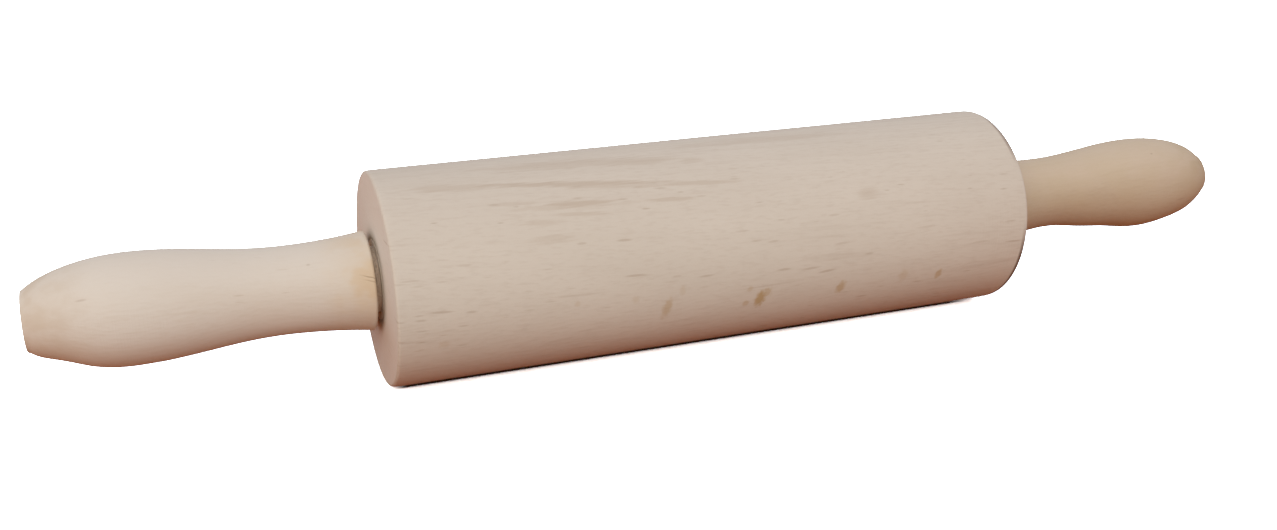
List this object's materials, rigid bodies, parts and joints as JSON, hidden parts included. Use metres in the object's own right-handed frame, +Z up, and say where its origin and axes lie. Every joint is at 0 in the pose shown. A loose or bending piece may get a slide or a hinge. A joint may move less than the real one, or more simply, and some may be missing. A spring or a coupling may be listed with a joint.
{
  "type": "rolling pin",
  "caption": "Wooden rolling pin whose roller turns freely on a steel rod between turned beech handles.",
  "frame": {"origin": "middle of the roller, on the axis that it turns about", "axes": "+X along the pin's axis towards the right handle, +Z up, so the pin lies level on its roller"},
  "size_m": [0.4, 0.065, 0.065],
  "materials": {
    "roller_beech": "sanded and left bare",
    "handle_beech": "turned, sanded and left bare",
    "rod_steel": "drawn",
    "bush_nylon": "moulded",
    "washer_steel": "stamped and plated"
  },
  "bodies": {
    "axle_and_handles": {"axle_rod": "rod_steel", "handle_left": "handle_beech", "handle_right": "handle_beech"},
    "thrust_washers": {"washer_left": "washer_steel", "washer_right": "washer_steel"},
    "roller": {"roller": "roller_beech", "bush_left": "bush_nylon", "bush_right": "bush_nylon"}
  },
  "joints": [
    {"name": "end_float", "type": "slide", "parent": "axle_and_handles", "child": "thrust_washers", "axis": [1, 0, 0], "range_m": [-0.0006, 0.0006]},
    {"name": "roller_spin", "type": "hinge", "parent": "thrust_washers", "child": "roller", "pos_m": [0, 0, 0], "axis": [1, 0, 0], "continuous": true}
  ]
}
